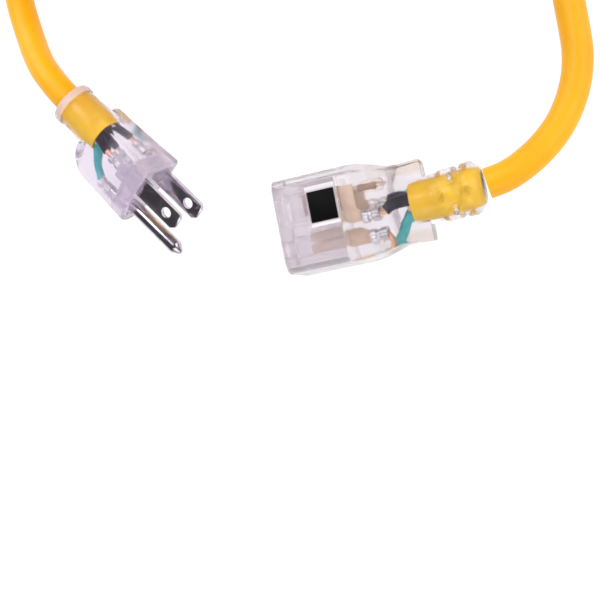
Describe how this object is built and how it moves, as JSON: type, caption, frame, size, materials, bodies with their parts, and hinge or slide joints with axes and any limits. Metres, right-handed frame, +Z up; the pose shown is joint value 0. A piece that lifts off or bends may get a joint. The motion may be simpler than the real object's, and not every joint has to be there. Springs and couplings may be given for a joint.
{
  "type": "extension cord",
  "caption": "Round yellow outdoor extension cord with a clear moulded three-prong plug and a clear moulded connector, its length coiled and tied.",
  "frame": {"origin": "on the connector's flat side, on which it rests, 15 mm behind its face", "axes": "+Z up, +X from the connector's face towards its cable, +Y towards its blade slots"},
  "size_m": [0.1879, 0.2815, 0.0592],
  "materials": {
    "yellow_jacket": "satin extruded vinyl jacket",
    "clear_vinyl": "clear moulded vinyl, slightly tinted",
    "carrier_plastic": "clear hard plastic with a pink tint",
    "nickel_plate": "nickel-plated brass",
    "tinned_crimp": "tinned crimp barrel",
    "contact_brass": "brass strip",
    "black_insulation": "vinyl wire insulation",
    "neutral_insulation": "dark vinyl wire insulation",
    "green_insulation": "green vinyl wire insulation",
    "copper": "stranded copper",
    "filler": "paper filler strand",
    "lamp_glass": "small glass lamp",
    "resistor_body": "lacquered resistor body",
    "lead_wire": "thin tinned copper lead",
    "black_plate": "plain black plate",
    "tie_fabric": "hook-and-loop fabric"
  },
  "bodies": {
    "cord": {"cord_coil": "yellow_jacket", "plug_lead": "yellow_jacket", "connector_lead": "yellow_jacket", "coil_tie": "tie_fabric"},
    "plug": {"plug_body": "clear_vinyl", "plug_insert": "carrier_plastic", "plug_line_blade": "nickel_plate", "plug_neutral_blade": "nickel_plate", "plug_ground_pin": "nickel_plate", "plug_line_crimp": "tinned_crimp", "plug_neutral_crimp": "tinned_crimp", "plug_ground_crimp": "tinned_crimp", "plug_line_wire": "black_insulation", "plug_neutral_wire": "neutral_insulation", "plug_ground_wire": "green_insulation", "plug_line_conductor": "copper", "plug_neutral_conductor": "copper", "plug_ground_conductor": "copper", "plug_jacket_end": "yellow_jacket", "plug_fillers": "filler"},
    "connector": {"connector_body": "clear_vinyl", "connector_insert": "carrier_plastic", "line_contact": "contact_brass", "neutral_contact": "contact_brass", "ground_contact": "contact_brass", "connector_line_crimp": "tinned_crimp", "connector_neutral_crimp": "tinned_crimp", "connector_ground_crimp": "tinned_crimp", "connector_line_wire": "black_insulation", "connector_neutral_wire": "neutral_insulation", "connector_ground_wire": "green_insulation", "connector_line_conductor": "copper", "connector_neutral_conductor": "copper", "connector_ground_conductor": "copper", "connector_jacket_end": "yellow_jacket", "connector_fillers": "filler", "power_lamp": "lamp_glass", "lamp_resistor": "resistor_body", "lamp_leads": "lead_wire", "marker_plate": "black_plate"}
  },
  "joints": [
    {"name": "plug_bend", "type": "hinge", "parent": "cord", "child": "plug", "pos_m": [-0.08, 0.0578, 0.01375], "axis": [0, 0, 1], "range_deg": [-30, 30], "stiffness_Nm_per_rad": 0.3, "deforming": ["plug_lead"]},
    {"name": "connector_bend", "type": "hinge", "parent": "cord", "child": "connector", "pos_m": [0.0482, 0.0004, 0.0125], "axis": [0, 0, 1], "range_deg": [-30, 30], "stiffness_Nm_per_rad": 0.3, "deforming": ["connector_lead"]}
  ]
}
